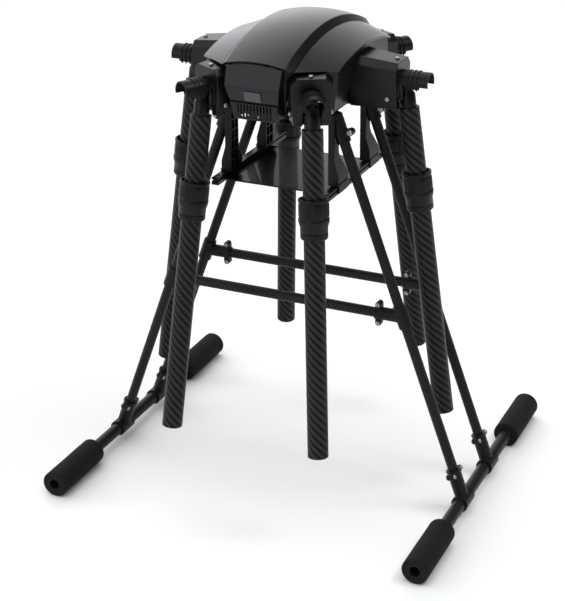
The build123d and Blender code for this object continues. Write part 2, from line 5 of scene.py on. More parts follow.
import bmesh
import bpy
import numpy as np
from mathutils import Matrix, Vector

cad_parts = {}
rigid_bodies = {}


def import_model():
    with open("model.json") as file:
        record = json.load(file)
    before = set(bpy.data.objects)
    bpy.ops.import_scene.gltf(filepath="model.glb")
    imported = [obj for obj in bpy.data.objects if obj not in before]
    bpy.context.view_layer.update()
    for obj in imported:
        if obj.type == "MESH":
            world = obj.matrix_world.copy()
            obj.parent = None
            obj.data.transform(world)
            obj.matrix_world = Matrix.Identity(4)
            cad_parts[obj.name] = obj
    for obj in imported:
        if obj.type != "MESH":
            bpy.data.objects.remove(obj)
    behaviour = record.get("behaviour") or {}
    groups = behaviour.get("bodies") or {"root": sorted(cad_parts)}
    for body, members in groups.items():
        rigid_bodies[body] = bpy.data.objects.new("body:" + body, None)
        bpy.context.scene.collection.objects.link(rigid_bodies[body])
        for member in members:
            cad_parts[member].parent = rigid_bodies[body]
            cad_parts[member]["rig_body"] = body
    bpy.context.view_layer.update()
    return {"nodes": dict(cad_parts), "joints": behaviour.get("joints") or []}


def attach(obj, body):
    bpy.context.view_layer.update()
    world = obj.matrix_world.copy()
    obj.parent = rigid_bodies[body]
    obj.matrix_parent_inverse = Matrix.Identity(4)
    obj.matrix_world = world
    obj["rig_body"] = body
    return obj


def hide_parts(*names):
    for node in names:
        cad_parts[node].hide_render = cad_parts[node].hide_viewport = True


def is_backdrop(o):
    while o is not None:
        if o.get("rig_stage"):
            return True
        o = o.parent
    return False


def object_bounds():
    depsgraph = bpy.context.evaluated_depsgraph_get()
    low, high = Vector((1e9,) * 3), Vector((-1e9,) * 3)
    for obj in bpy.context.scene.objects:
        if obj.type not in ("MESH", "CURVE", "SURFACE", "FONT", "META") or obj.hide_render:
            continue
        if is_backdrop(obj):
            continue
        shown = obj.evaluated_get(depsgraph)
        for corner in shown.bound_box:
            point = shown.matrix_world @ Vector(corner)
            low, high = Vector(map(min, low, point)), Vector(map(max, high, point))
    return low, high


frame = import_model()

Y, Z = (0, 1, 0), (0, 0, 1)


# ---- camera ----
# A long lens a little over two metres away, above and to the right of the front.
# The shift puts the hub high in the frame, so that all four skid ends are in view.
LENS_MM, SENSOR_MM = 96.53, 36.0
CAMERA_AT, CAMERA_AIM, CAMERA_ROLL = Vector((0.91787, -2.05365, 1.28785)), Vector((0, 0, 0.370)), -0.0046

camera = bpy.data.objects.new("camera", bpy.data.cameras.new("camera"))
bpy.context.scene.collection.objects.link(camera)
bpy.context.scene.camera = camera
camera.data.lens, camera.data.sensor_width = LENS_MM, SENSOR_MM
camera.data.shift_x, camera.data.shift_y = -0.0292, -0.1031
camera.location = CAMERA_AT
camera.rotation_euler = (CAMERA_AIM - CAMERA_AT).to_track_quat("-Z", "Y").to_euler()
camera.rotation_euler.rotate_axis("Z", CAMERA_ROLL)


# ---- studio ----
# A pale floor under a wide overhead light and a small lamp up on the right. The room's walls glow softly
# behind on the left, where the covers mirror them, and in front on the left, where the front panel does.
def linear(colour):
    """Linear RGBA of an sRGB hex colour."""
    parts = np.array([int(colour[i:i + 2], 16) for i in (1, 3, 5)]) / 255
    curve = np.where(parts <= 0.04045, parts / 12.92, ((parts + 0.055) / 1.055) ** 2.4)
    return (*curve.tolist(), 1.0)


def add(tree, kind, values=None, links=None, **settings):
    """Add one node: its own settings, its input values and the sockets linked to its inputs."""
    node = tree.nodes.new(kind)
    for name, value in settings.items():
        setattr(node, name, value)
    for name, value in (values or {}).items():
        node.inputs[name].default_value = value
    for name, source in (links or {}).items():
        tree.links.new(source, node.inputs[name])
    return node


def principled(name, colour, **values):
    """New material with one Principled shader; an underscore in a socket's name stands for a space."""
    material = bpy.data.materials.new(name)
    material.use_nodes = True
    shader = material.node_tree.nodes["Principled BSDF"]
    shader.inputs["Base Color"].default_value = linear(colour)
    for socket, value in values.items():
        shader.inputs[socket.replace("_", " ")].default_value = value
    return material, material.node_tree, shader


def area_light(name, direction, distance, size, power):
    """Soft rectangular light in a direction from the hub, facing it."""
    lamp = bpy.data.lights.new(name, "AREA")
    lamp.shape, lamp.size, lamp.size_y, lamp.energy = "RECTANGLE", size[0], size[1], power
    holder = bpy.data.objects.new(name, lamp)
    holder.location = HUB_MIDDLE + Vector(direction).normalized() * distance
    holder.rotation_euler = (-Vector(direction)).to_track_quat("-Z", "Z").to_euler()
    bpy.context.scene.collection.objects.link(holder)


HUB_MIDDLE = Vector((0, 0, 0.6))
FLOOR_HALF = 30.0
floor_mesh = bpy.data.meshes.new("studio_floor")
corners = [(-FLOOR_HALF, -FLOOR_HALF, 0), (FLOOR_HALF, -FLOOR_HALF, 0),
           (FLOOR_HALF, FLOOR_HALF, 0), (-FLOOR_HALF, FLOOR_HALF, 0)]
floor_mesh.from_pydata(corners, [], [(0, 1, 2, 3)])
floor_material, _, _ = principled("matte_white_paper", "#f6f6f6", Roughness=0.95)
floor_mesh.materials.append(floor_material)
floor = bpy.data.objects.new("studio_floor", floor_mesh)
bpy.context.scene.collection.objects.link(floor)
floor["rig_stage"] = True

sun = bpy.data.objects.new("overhead_light", bpy.data.lights.new("overhead_light", "SUN"))
SUN_STRENGTH, SUN_SPREAD, SUN_TILT = 1.3, radians(60), radians(8)
sun.data.energy, sun.data.angle = SUN_STRENGTH, SUN_SPREAD
sun.rotation_euler = (SUN_TILT, SUN_TILT, 0)
bpy.context.scene.collection.objects.link(sun)
area_light("right_lamp", (0.62, 0.15, 0.77), 3.0, (1.0, 1.0), 24)

room = bpy.data.worlds.new("room")
bpy.context.scene.world = room
room.use_nodes = True
walls = room.node_tree


def wall_glow(direction, start, full, strength):
    """Soft glow on the room's walls: it rises with the cosine of the angle from a direction."""
    toward = add(walls, "ShaderNodeVectorMath", {1: Vector(direction).normalized()}, {0: room_direction},
                 operation="DOT_PRODUCT")
    return add(walls, "ShaderNodeMapRange", {"From Min": start, "From Max": full, "To Max": strength},
               {"Value": toward.outputs["Value"]}, interpolation_type="SMOOTHSTEP").outputs["Result"]


room_direction = add(walls, "ShaderNodeTexCoord").outputs["Generated"]
back_glow = wall_glow((-0.75, 0.45, 0.48), 0.42, 0.92, 1.7)
front_glow = wall_glow((-0.40, -0.88, 0.24), 0.78, 0.99, 1.8)
both_glows = add(walls, "ShaderNodeMath", {}, {0: back_glow, 1: front_glow}, operation="ADD").outputs[0]
WALL_DIM = 0.16        # strength of the walls away from both glows
room_light = add(walls, "ShaderNodeMath", {1: WALL_DIM}, {0: both_glows}, operation="ADD").outputs[0]
walls.links.new(room_light, walls.nodes["Background"].inputs["Strength"])
walls.nodes["Background"].inputs["Color"].default_value = linear("#f6f8fb")
bpy.context.scene.view_settings.view_transform = "Standard"


# ---- folding arm tubes ----
# Roll-wrapped carbon tubes, 30 mm outside, with a visible 2/2 twill outer layer under clear resin.
# The ends are cut square and lightly chamfered.
ARM_NAMES = ("front_right", "right", "rear_right", "rear_left", "left", "front_left")
ARM_OUTER, ARM_INNER, ARM_LONG, ARM_TOP = 0.015, 0.0135, 0.474, 0.0387
CUT_CHAMFER = 0.0004
ARM_TOW = 0.0030

hinges = {j["child"][:-len("_arm")]: Vector(j["pos_m"]) for j in frame["joints"] if j["type"] == "hinge"}
downward = {j["child"][:-len("_collar")]: -Vector(j["axis"]).normalized()
            for j in frame["joints"] if j["type"] == "slide"}


def axis_frame(axis):
    """Two unit vectors square to an axis and to each other, and the axis, as the columns of an array."""
    along = Vector(axis).normalized()
    side = along.cross(Vector(Z) if abs(along.z) < 0.9 else Vector(Y)).normalized()
    return np.array([side, along.cross(side), along]).T


def outward(points, faces):
    """The faces, turned round if the closed surface's volume comes out negative."""
    a, b, c = (points[faces[:, i]] for i in (0, 1, 2))
    d = points[faces[:, 3]]
    volume = np.einsum("ij,ij->", a, np.cross(b, c)) + np.einsum("ij,ij->", a, np.cross(c, d))
    return faces if volume > 0 else faces[:, ::-1]


def lathed(origin, axis, radius, height):
    """Turned surface. Row s and column t are at origin + height(s, t) along the axis and radius(s, t) away
    from it, at angle 2 pi t. The last row joins the first, so that the surface has no open edge."""
    rows, columns = radius.shape
    angle = np.linspace(0, 2 * pi, columns, endpoint=False)
    local = np.stack([radius * np.cos(angle), radius * np.sin(angle), height], axis=-1)
    points = (local @ axis_frame(axis).T + np.array(origin)).reshape(-1, 3)
    s, t = np.meshgrid(np.arange(rows), np.arange(columns), indexing="ij")
    s2, t2 = (s + 1) % rows, (t + 1) % columns
    corners = [s * columns + t, s * columns + t2, s2 * columns + t2, s2 * columns + t]
    faces = np.stack(corners, axis=-1).reshape(-1, 4)
    return points, outward(points, faces)


def turned_outline(outline, columns):
    """Radius and height arrays for an outline of (radius, height) points, the same at every angle."""
    outline = np.array(outline, float)
    return (np.repeat(outline[:, i:i + 1], columns, axis=1) for i in (0, 1))


def make_piece(name, points, faces, material, fold=35):
    """Object at the origin from point and face arrays, smooth except where faces meet at over fold
    degrees."""
    mesh = bpy.data.meshes.new(name)
    mesh.from_pydata(points, [], faces.tolist())
    mesh.materials.append(material)
    mesh.polygons.foreach_set("use_smooth", np.ones(len(mesh.polygons), bool))
    mesh.set_sharp_from_angle(angle=radians(fold))
    piece = bpy.data.objects.new(name, mesh)
    bpy.context.scene.collection.objects.link(piece)
    return piece


def give_weave_map(piece, origin, axis, radius, columns):
    """UV map in metres: U round the tube at its outer radius and V along its axis. A face that closes
    the ring takes the full turn as its last U, so that the weave has no torn column."""
    mesh = piece.data
    points = np.empty(len(mesh.vertices) * 3)
    mesh.vertices.foreach_get("co", points)
    local = (points.reshape(-1, 3) - np.array(origin)) @ axis_frame(axis)
    corner = np.empty(len(mesh.loops), int)
    mesh.loops.foreach_get("vertex_index", corner)
    turn = (corner % columns).reshape(-1, 4)
    turn = np.where((turn == 0) & (turn.max(axis=1, keepdims=True) == columns - 1), columns, turn)
    u = turn.reshape(-1) * (2 * pi * radius / columns)
    uv = np.stack([u, local[corner, 2]], axis=-1)
    mesh.uv_layers.new(name="weave").data.foreach_set("uv", uv.ravel())


def tube(name, start, end, outer, inner, material, columns=96):
    """Tube with a chamfered square cut at each end, and its weave map."""
    axis = Vector(end) - Vector(start)
    long, edge = axis.length, CUT_CHAMFER
    outline = [(inner, edge), (inner + edge, 0), (outer - edge, 0), (outer, edge),
               (outer, long - edge), (outer - edge, long), (inner + edge, long), (inner, long - edge)]
    piece = make_piece(name, *lathed(start, axis, *turned_outline(outline, columns)), material, fold=30)
    give_weave_map(piece, start, axis, outer, columns)
    return piece


def twill(tree, u, v, tow):
    """2/2 twill of tows of one width: (1 where the lengthwise tow is on top, height of the top tow).
    A cell's row plus its column, modulo 4, says which tow is on top; a tow is highest along its middle."""
    cells, crowns = [], []
    for socket in (u, v):
        scaled = add(tree, "ShaderNodeMath", {1: 1 / tow}, {0: socket}, operation="MULTIPLY").outputs[0]
        cells.append(add(tree, "ShaderNodeMath", {}, {0: scaled}, operation="FLOOR").outputs[0])
        ramp = add(tree, "ShaderNodeMath", {1: 0.5}, {0: scaled}, operation="PINGPONG").outputs[0]
        crowns.append(add(tree, "ShaderNodeMath", {1: 0.5}, {0: ramp}, operation="POWER").outputs[0])
    total = add(tree, "ShaderNodeMath", {}, {0: cells[0], 1: cells[1]}, operation="ADD").outputs[0]
    step = add(tree, "ShaderNodeMath", {1: 4.0}, {0: total}, operation="FLOORED_MODULO").outputs[0]
    on_top = add(tree, "ShaderNodeMath", {1: 1.5}, {0: step}, operation="LESS_THAN").outputs[0]
    height = add(tree, "ShaderNodeMix", {}, {"Factor": on_top, "A": crowns[1], "B": crowns[0]})
    return on_top, height.outputs["Result"]


def carbon_twill(name, tow, light, dark, plane=None):
    """Carbon twill under clear resin: the lengthwise tows get a lighter colour, a painted sheen of the light
    they catch, while the crosswise tows keep the carbon's black, and each tow is slightly crowned. On a tube
    it reads the piece's weave map; on a plate, two Object axes."""
    material, tree, shader = principled(name, dark, Roughness=0.38, IOR=1.55, Specular_IOR_Level=0.10,
                                        Coat_Weight=0.04, Coat_Roughness=0.22)
    if plane:
        source = add(tree, "ShaderNodeTexCoord").outputs["Object"]
    else:
        source = add(tree, "ShaderNodeUVMap", uv_map="weave").outputs["UV"]
    split = add(tree, "ShaderNodeSeparateXYZ", {}, {0: source})
    u, v = (split.outputs[axis] for axis in (plane or "XY"))
    on_top, height = twill(tree, u, v, tow)
    # painted sheen: the tows on top along the length take the lighter colour, the others keep the black of the
    # carbon
    colour = add(tree, "ShaderNodeMix", {6: linear(dark), 7: linear(light)}, {0: on_top}, data_type="RGBA")
    streaks = add(tree, "ShaderNodeTexNoise", {"Scale": 0.6 / tow, "Detail": 3.0}, {"Vector": source})
    worn = add(tree, "ShaderNodeMapRange", {"To Min": 0.30, "To Max": 0.50},
               {"Value": streaks.outputs["Fac"]})
    bump = add(tree, "ShaderNodeBump", {"Strength": 0.35, "Distance": 0.05 * tow}, {"Height": height})
    tree.links.new(colour.outputs[2], shader.inputs["Base Color"])
    tree.links.new(worn.outputs["Result"], shader.inputs["Roughness"])
    tree.links.new(bump.outputs["Normal"], shader.inputs["Normal"])
    return material


# Each tow is drawn 3 mm wide, the visible width of a 6K tow, so a diagonal repeats every 12 mm.
# Painted sheen: #2b2c2e on the lengthwise tows stands for light they catch; #040405 is the carbon's black.
arm_carbon = carbon_twill("carbon_twill_arm_tube", ARM_TOW, "#2b2c2e", "#040405")
for place in ARM_NAMES:
    top = hinges[place] + downward[place] * ARM_TOP
    foot = top + downward[place] * ARM_LONG
    arm = tube(f"{place}_arm_carbon", foot, top, ARM_OUTER, ARM_INNER, arm_carbon)
    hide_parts(f"{place}_arm_tube")
    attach(arm, f"{place}_arm")


# ---- hinge plugs ----
# Machined aluminium plugs, black anodised and glued into the tubes, each with an eye for the hinge pin.
# The turned neck shows between the hinge seat and the tube.
def finished(node, material, width, fold=28, segments=2):
    """Stand-in for a frame part: its loose triangles merged into whole flat faces, then the edges that
    turn by more than fold degrees rounded by a bevel of the given width."""
    mesh = frame["nodes"][node].data.copy()
    if "custom_normal" in mesh.attributes:
        mesh.attributes.remove(mesh.attributes["custom_normal"])
    shape = bmesh.new()
    shape.from_mesh(mesh)
    bmesh.ops.remove_doubles(shape, verts=shape.verts, dist=4e-6)
    bmesh.ops.dissolve_limit(shape, angle_limit=radians(0.8), verts=shape.verts, edges=shape.edges)
    shape.to_mesh(mesh)
    shape.free()
    mesh.materials.clear()
    mesh.materials.append(material)
    mesh.polygons.foreach_set("use_smooth", np.ones(len(mesh.polygons), bool))
    mesh.set_sharp_from_angle(angle=radians(fold))
    piece = bpy.data.objects.new(f"{node}_finished", mesh)
    bpy.context.scene.collection.objects.link(piece)
    bevel = piece.modifiers.new("rounded_edges", "BEVEL")
    bevel.width, bevel.segments, bevel.angle_limit = width, segments, radians(fold)
    bevel.limit_method, bevel.use_clamp_overlap, bevel.harden_normals = "ANGLE", False, True
    bevel.miter_outer = "MITER_ARC"
    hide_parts(node)
    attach(piece, frame["nodes"][node]["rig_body"])
    return piece


def black_anodised(name, colour, roughness):
    """Black anodised aluminium: a matt dyed oxide layer with faint turning or brushing lines."""
    material, tree, shader = principled(name, colour, Metallic=0.85, Roughness=roughness)
    place = add(tree, "ShaderNodeTexCoord").outputs["Object"]
    squeezed = add(tree, "ShaderNodeMapping", {"Scale": (300, 300, 3000)}, {"Vector": place})
    lines = add(tree, "ShaderNodeTexNoise", {"Scale": 1.0, "Detail": 2.0}, {"Vector": squeezed.outputs[0]})
    spread = add(tree, "ShaderNodeMapRange", {"To Min": roughness - 0.08, "To Max": roughness + 0.10},
                 {"Value": lines.outputs["Fac"]})
    bump = add(tree, "ShaderNodeBump", {"Strength": 0.12, "Distance": 0.0001},
               {"Height": lines.outputs["Fac"]})
    tree.links.new(spread.outputs["Result"], shader.inputs["Roughness"])
    tree.links.new(bump.outputs["Normal"], shader.inputs["Normal"])
    return material


plug_metal = black_anodised("anodised_aluminium_plug", "#1c1d1e", 0.36)
for place in ARM_NAMES:
    finished(f"{place}_hinge_plug", plug_metal, 0.0004)


# ---- lock collars and stop rings ----
# Glass-filled nylon collars, injection moulded, with ribs in a recessed grip band between two plain rims.
# Screwed up over the hinge seat they lock the arm out; loose, they rest on a stop ring glued to the tube.
def moulded_nylon(name, colour, roughness=0.42, grain=0.0006):
    """Satin glass-filled nylon: a fine spark-eroded grain, and cloudy patches from handling."""
    material, tree, shader = principled(name, colour, Roughness=roughness, IOR=1.53,
                                        Specular_IOR_Level=0.16)
    place = add(tree, "ShaderNodeTexCoord").outputs["Object"]
    pits = add(tree, "ShaderNodeTexNoise", {"Scale": 1 / grain, "Detail": 2.0}, {"Vector": place})
    patches = add(tree, "ShaderNodeTexNoise", {"Scale": 28.0, "Detail": 4.0}, {"Vector": place})
    spread = add(tree, "ShaderNodeMapRange", {"To Min": roughness - 0.07, "To Max": roughness + 0.09},
                 {"Value": patches.outputs["Fac"]})
    bump = add(tree, "ShaderNodeBump", {"Strength": 0.16, "Distance": 0.0001},
               {"Height": pits.outputs["Fac"]})
    tree.links.new(spread.outputs["Result"], shader.inputs["Roughness"])
    tree.links.new(bump.outputs["Normal"], shader.inputs["Normal"])
    return material


COLLAR_AT, COLLAR_LONG = 0.1347, 0.048
COLLAR_RIM, COLLAR_BAND, COLLAR_MOUTH, COLLAR_GUIDE, COLLAR_FOOT = 0.02185, 0.0206, 0.0190, 0.0153, 0.0195
GRIP_GROUPS, RIBS_IN_GROUP, GROUP_SHARE, RIB_HIGH = 4, 6, 0.56, 0.0010
STOP_LONG, STOP_GAP = 0.009, 0.0004
SLIDING_PLAY = 0.00006


def collar_surface(columns=288):
    """Collar as rows down its outline. In the grip band the radius swells by a rounded rib profile inside
    each group, and by a smooth lobe between the groups, both faded out at the band's two ends."""
    rim, band, mouth, foot, edge = COLLAR_RIM, COLLAR_BAND, COLLAR_MOUTH, COLLAR_FOOT, 0.0005
    low = -COLLAR_LONG
    outline = [(mouth, -edge), (mouth + edge, 0), (rim - edge, 0), (rim, -edge), (rim, -0.0036),
               (rim - edge, -0.0042), (band, -0.0050), (band, -0.0066), (band, -0.0082), (band, -0.0140),
               (band, -0.0200), (band, -0.0238), (band, -0.0252), (band, -0.0262), (rim - edge, -0.0268),
               (rim, -0.0274), (rim, -0.0316), (rim - 0.0003, -0.0330), (rim - 0.0014, -0.0372),
               (foot + 0.0002, -0.0384), (foot, low + edge), (foot - edge, low), (COLLAR_GUIDE + edge, low),
               (COLLAR_GUIDE, low + edge), (COLLAR_GUIDE, low + 0.009), (mouth, low + 0.013)]
    radius, height = turned_outline(outline, columns)
    turn = np.linspace(0, 1, columns, endpoint=False)
    in_group = (turn * GRIP_GROUPS + 0.5 * GROUP_SHARE) % 1
    rib = np.abs(np.sin(pi * RIBS_IN_GROUP * in_group / GROUP_SHARE)) ** 0.6
    lobe = np.sin(pi * np.clip((in_group - GROUP_SHARE) / (1 - GROUP_SHARE), 0, 1)) ** 0.5
    swell = np.where(in_group < GROUP_SHARE, rib, lobe) * RIB_HIGH
    faded = np.clip(np.minimum(-height - 0.0058, height + 0.0258) / 0.0016, 0, 1)
    inside_band = (np.abs(radius - band) < 1e-6) & (height < -0.0052) & (height > -0.0260)
    return radius + np.where(inside_band, faded, 0) * swell, height


collar_nylon = moulded_nylon("nylon_lock_collar", "#101011", 0.38)
ring_nylon = moulded_nylon("nylon_stop_ring", "#0f0f10", 0.45)
for place in ARM_NAMES:
    down, up = downward[place], -downward[place]
    rim_at = hinges[place] + down * COLLAR_AT
    collar = make_piece(f"{place}_ribbed_collar", *lathed(rim_at, up, *collar_surface()),
                        collar_nylon, fold=50)
    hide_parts(f"{place}_lock_collar")
    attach(collar, f"{place}_collar")
    high, low, bore = -STOP_GAP, -STOP_GAP - STOP_LONG, ARM_OUTER + SLIDING_PLAY
    outline = [(bore, high), (COLLAR_FOOT - 0.0006, high), (COLLAR_FOOT, high - 0.0006),
               (COLLAR_FOOT, low + 0.0025), (COLLAR_FOOT - 0.0006, low + 0.0012),
               (COLLAR_FOOT - 0.0020, low), (bore, low)]
    ring_at = rim_at + down * COLLAR_LONG
    ring = make_piece(f"{place}_tube_stop", *lathed(ring_at, up, *turned_outline(outline, 96)),
                      ring_nylon, fold=25)
    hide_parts(f"{place}_stop_ring")
    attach(ring, f"{place}_arm")


# ---- hinge seats and pins ----
# Moulded blocks bolted between the hub plates, each ending in a ribbed stub that is open below,
# so that the arm folds out of it. A steel pin crosses it.
seat_nylon = moulded_nylon("nylon_hinge_seat", "#111112", 0.36)
finished("hinge_seats", seat_nylon, 0.0005)


def bright_steel(name, colour, roughness):
    """Zinc-plated or stainless steel: bright, with faint random scratches that spread the highlight."""
    material, tree, shader = principled(name, colour, Metallic=1.0, Roughness=roughness)
    place = add(tree, "ShaderNodeTexCoord").outputs["Object"]
    scratches = add(tree, "ShaderNodeTexNoise", {"Scale": 1400.0, "Detail": 3.0}, {"Vector": place})
    spread = add(tree, "ShaderNodeMapRange", {"To Min": roughness - 0.08, "To Max": roughness + 0.14},
                 {"Value": scratches.outputs["Fac"]})
    tree.links.new(spread.outputs["Result"], shader.inputs["Roughness"])
    return material


def finish_in_place(node, material):
    """Give a frame part that stays as it is its own material."""
    data = frame["nodes"][node].data
    data.materials.clear()
    data.materials.append(material)


bolt_steel = bright_steel("zinc_plated_bolt", "#a9a9a7", 0.34)
finish_in_place("hinge_pins", bolt_steel)


# ---- arm fairings ----
# Injection-moulded ABS sockets screwed over the hinge seats, with bevelled shoulders and an
# arch-shaped boss. The tool left a fine satin grain, and the moulded edges catch thin highlights.
def moulded_abs(name, colour, roughness, grain, coat=0.0):
    """Black ABS: a fine even grain from the tool, with slow changes of gloss over the panel."""
    material, tree, shader = principled(name, colour, Roughness=roughness, IOR=1.54, Specular_IOR_Level=0.22,
                                        Coat_Weight=coat, Coat_Roughness=0.10)
    place = add(tree, "ShaderNodeTexCoord").outputs["Object"]
    grains = add(tree, "ShaderNodeTexNoise", {"Scale": 1 / grain, "Detail": 2.0}, {"Vector": place})
    gloss = add(tree, "ShaderNodeTexNoise", {"Scale": 9.0, "Detail": 2.0}, {"Vector": place})
    spread = add(tree, "ShaderNodeMapRange", {"To Min": roughness - 0.05, "To Max": roughness + 0.06},
                 {"Value": gloss.outputs["Fac"]})
    bump = add(tree, "ShaderNodeBump", {"Strength": 0.08, "Distance": 0.0001},
               {"Height": grains.outputs["Fac"]})
    tree.links.new(spread.outputs["Result"], shader.inputs["Roughness"])
    tree.links.new(bump.outputs["Normal"], shader.inputs["Normal"])
    return material


socket_abs = moulded_abs("abs_arm_fairing", "#0a0a0b", 0.30, 0.0007)
for place in ARM_NAMES:
    finished(f"{place}_arm_socket", socket_abs, 0.0011, segments=3)


# ---- covers ----
# Three thin ABS covers that make one dome: a centre strip with bevelled flanks and a lower cover each side.
# Each is a shell moulded 2.5 mm thick with small rounded edges, and polished more than the fairings.
COVER_AXIS, COVER_CROWN, COVER_WALL = 0.353, 0.363, 0.0025
STRIP_FLAT, STRIP_EDGE, SIDE_EDGE, SEAM = 0.045, 0.054, 0.104, 0.0003
STRIP_RADIUS, STEP_RADIUS, SIDE_RADIUS = 0.358, 0.349, 0.331
PLAN_FLAT, PLAN_LONG, PLAN_SHORT = 0.043, 0.149, 0.098
COVER_EDGE = 0.0008


def cover_grid(columns_at, rows=97):
    """Skin of the dome at given X columns. The skin's radius about a crosswise axis falls from the crown as
    a circular arc, then in two straight steps; Z is that axis plus the root of radius squared less Y squared.
    Each column runs over the plan outline, full length in the middle and shorter towards the sides."""
    x = np.asarray(columns_at)
    arc = (STRIP_FLAT ** 2 + (COVER_CROWN - STRIP_RADIUS) ** 2) / (2 * (COVER_CROWN - STRIP_RADIUS))
    crown = COVER_CROWN - arc + np.sqrt(np.maximum(arc ** 2 - x ** 2, 0))
    steps = np.interp(np.abs(x), [STRIP_FLAT, STRIP_EDGE, SIDE_EDGE],
                      [STRIP_RADIUS, STEP_RADIUS, SIDE_RADIUS])
    radius = np.where(np.abs(x) <= STRIP_FLAT, crown, steps)
    reach = np.interp(np.abs(x), [PLAN_FLAT, SIDE_EDGE], [PLAN_LONG, PLAN_SHORT])
    y = np.linspace(-1, 1, rows)[:, None] * reach[None, :]
    z = COVER_AXIS + np.sqrt(radius[None, :] ** 2 - y ** 2)
    points = np.stack([np.broadcast_to(x, y.shape), y, z], axis=-1).reshape(-1, 3)
    count = len(x)
    r, c = np.meshgrid(np.arange(rows - 1), np.arange(count - 1), indexing="ij")
    corner = r * count + c
    faces = np.stack([corner, corner + 1, corner + count + 1, corner + count], axis=-1).reshape(-1, 4)
    return points, faces


def cover(name, node, columns_at, material):
    """Cover shell: the skin with its wall underneath and its edges rounded."""
    piece = make_piece(name, *cover_grid(columns_at), material, fold=15)
    wall = piece.modifiers.new("wall", "SOLIDIFY")
    wall.thickness, wall.offset = COVER_WALL, -1
    bevel = piece.modifiers.new("rounded_edges", "BEVEL")
    bevel.width, bevel.segments, bevel.limit_method, bevel.angle_limit = COVER_EDGE, 3, "ANGLE", radians(15)
    bevel.harden_normals, bevel.use_clamp_overlap = True, False
    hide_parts(node)
    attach(piece, "airframe")


cover_abs = moulded_abs("abs_dome_cover", "#070708", 0.24, 0.0009, coat=0.25)
flat_columns = np.linspace(-STRIP_FLAT, STRIP_FLAT, 25)
flank = np.linspace(STRIP_FLAT, STRIP_EDGE, 4)[1:]
cover("centre_cover", "top_cover", np.concatenate([-flank[::-1], flat_columns, flank]), cover_abs)
side_columns = np.linspace(STRIP_EDGE + SEAM, SIDE_EDGE, 13)
cover("right_side_cover", "right_cover", side_columns, cover_abs)
cover("left_side_cover", "left_cover", -side_columns[::-1], cover_abs)


# ---- hub shell, end panels and badge ----
# One deep ABS tub that closes the hub's sides, and a faceted panel at each end, whose lowest facet with
# its row of vent slots is a piece of its own. A small grey name plate, left blank, is stuck on in front.
shell_abs = moulded_abs("abs_hub_shell", "#0a0a0b", 0.34, 0.0008)
finished("hub_shell", shell_abs, 0.0009)
panel_abs = moulded_abs("abs_end_panel", "#161718", 0.30, 0.0007)
for node in ("front_panel", "rear_panel"):
    finished(node, panel_abs, 0.0004, fold=20)

VENT_LOW, VENT_HIGH, VENT_DEPTH = (-0.1503, 0.601), (-0.1533, 0.625), 0.0025     # facet's edges: Y, Z
VENT_WIDTHS = [(0.0, 0.0310), (0.17, 0.0318), (0.94, 0.0358), (1.0, 0.0360)]     # share of height, half width
VENT_REACH = 0.0257              # the slots end at this X
VENT_BARS, VENT_PITCH, VENT_BAR_HALF, VENT_BAR_ENDS = 10, 0.0049, 0.0012, (0.1, 0.95)


def vent_facet(name, end):
    """Slotted lowest facet of an end panel, as boxes: x lies between a left and a right edge at two heights,
    and y and z run straight from the facet's lower edge to its upper one. end is 1 in front, -1 behind."""
    (foot, foot_x), (low, low_x), (high, high_x), (top, top_x) = VENT_WIDTHS
    half, reach = VENT_BAR_HALF, VENT_REACH
    middles = (np.arange(VENT_BARS) - (VENT_BARS - 1) / 2) * VENT_PITCH
    bars = [(x - half, x + half, x - half, x + half, *VENT_BAR_ENDS) for x in middles]
    rims = [(-foot_x, foot_x, -low_x, low_x, foot, low), (-high_x, high_x, -top_x, top_x, high, top)]
    cheeks = [(-low_x, -reach, -high_x, -reach, low, high), (reach, low_x, reach, high_x, low, high)]
    boxes = np.array(bars + rims + cheeks)
    left, right, share = boxes[:, [0, 2]], boxes[:, [1, 3]], boxes[:, 4:6, None]
    x = np.stack([left, right, right, left], axis=2)
    y = (VENT_LOW[0] + share * (VENT_HIGH[0] - VENT_LOW[0]) + np.array([0, 0, 1, 1]) * VENT_DEPTH) * end
    z = np.broadcast_to(VENT_LOW[1] + share * (VENT_HIGH[1] - VENT_LOW[1]), x.shape)
    points = np.stack([x, y, z], axis=-1).reshape(-1, 3)
    sides = np.array([(3, 2, 1, 0), (4, 5, 6, 7), (0, 1, 5, 4), (1, 2, 6, 5), (2, 3, 7, 6), (3, 0, 4, 7)])
    faces = (np.arange(len(boxes))[:, None, None] * 8 + sides[:, ::end]).reshape(-1, 4)
    piece = make_piece(name, points, faces, panel_abs)
    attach(piece, "airframe")


vent_facet("front_vent", 1)
vent_facet("rear_vent", -1)
badge_grey = moulded_abs("printed_name_plate", "#4a4c4e", 0.40, 0.0006)
finished("badge_plate", badge_grey, 0.0004)


# ---- hub plates and spacers ----
# Two CNC-cut carbon plates clamp the hinge seats, held apart by turned aluminium spacers.
# Painted sheen: #1a1b1c on the lengthwise tows stands for light they catch; #070708 is the plate's black.
plate_carbon = carbon_twill("carbon_twill_plate", 0.0025, "#1a1b1c", "#070708", plane="XY")
for node in ("lower_plate", "upper_plate"):
    finished(node, plate_carbon, 0.0003)
rail_metal = black_anodised("anodised_aluminium_rail", "#1a1b1c", 0.36)
finished("hub_spacers", rail_metal, 0.0004)


# ---- payload rack ----
# Four ribbed nylon corner posts under the hub stand on two grooved aluminium rails,
# with a flat battery tray between the rails, under a smooth lacquer that mirrors the room.
rack_nylon = moulded_nylon("nylon_rack_post", "#101112", 0.40)
finished("rack_posts", rack_nylon, 0.0004)
# Painted sheen: #101011 on the lengthwise tows stands for light they catch; #080809 is the tray's black.
tray_carbon = carbon_twill("lacquered_carbon_tray", 0.0025, "#101011", "#080809", plane="XY")
lacquer = tray_carbon.node_tree.nodes["Principled BSDF"].inputs
lacquer["Coat Weight"].default_value, lacquer["Coat Roughness"].default_value = 0.18, 0.05
finished("rack_tray", tray_carbon, 0.0003)
for node in ("right_rail", "left_rail"):
    finished(node, rail_metal, 0.0004)


